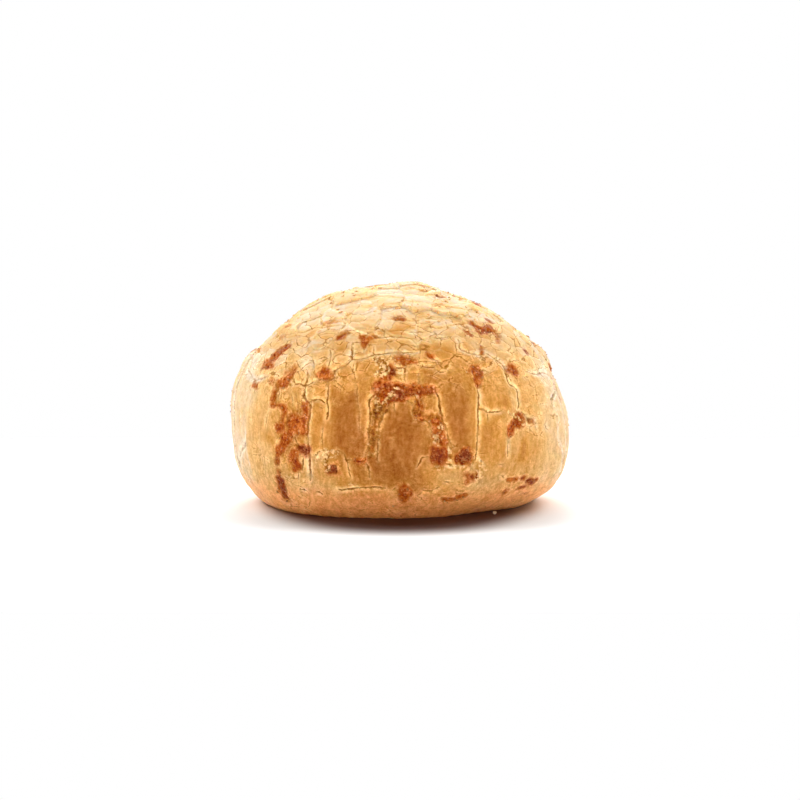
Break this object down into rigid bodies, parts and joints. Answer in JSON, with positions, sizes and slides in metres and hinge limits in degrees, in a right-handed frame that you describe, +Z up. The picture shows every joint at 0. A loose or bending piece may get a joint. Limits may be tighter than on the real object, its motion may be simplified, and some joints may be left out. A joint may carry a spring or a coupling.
{
  "type": "pao de queijo cheese ball",
  "caption": "Small squat round bread bun with a cracked, flaky browned crust and a flat base it rests on.",
  "frame": {"origin": "centre of the bounding box's bottom, on the flat of the base", "axes": "+Z up through the crown, -Y towards the front of the bun"},
  "size_m": [0.0598, 0.0586, 0.0389],
  "materials": {
    "crust": "dry baked crust"
  },
  "bodies": {
    "root": {"cheese_ball": "crust"}
  },
  "joints": []
}
